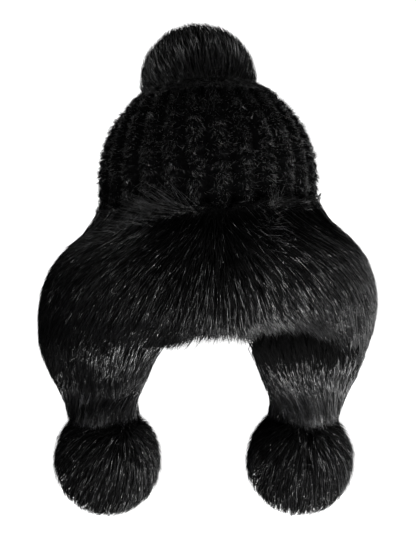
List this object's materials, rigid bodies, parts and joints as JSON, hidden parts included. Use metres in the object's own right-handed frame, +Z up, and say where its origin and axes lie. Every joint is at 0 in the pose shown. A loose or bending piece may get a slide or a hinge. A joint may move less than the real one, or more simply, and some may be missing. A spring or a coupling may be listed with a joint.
{
  "type": "fur earflap hat",
  "caption": "Chunky rib-knitted fur cap with a deep fur brim round the front, two tapering fur ear flaps and fur pompoms on the top and on each flap.",
  "frame": {"origin": "the point inside the top of the crown where the top of the wearer's head rests", "axes": "+Z up, -Y towards the wearer's front, +X towards the wearer's left ear"},
  "size_m": [0.2798, 0.2995, 0.4036],
  "materials": {
    "knitted_fur": "matt short pile, knitted in ribs",
    "long_fur": "glossy long fur",
    "pompom_fur": "glossy dense fur"
  },
  "bodies": {
    "root": {"crown": "knitted_fur", "top_pompom": "pompom_fur", "front_brim": "long_fur", "back_band": "long_fur", "left_flap": "long_fur", "right_flap": "long_fur", "left_pompom": "pompom_fur", "right_pompom": "pompom_fur"}
  },
  "joints": []
}
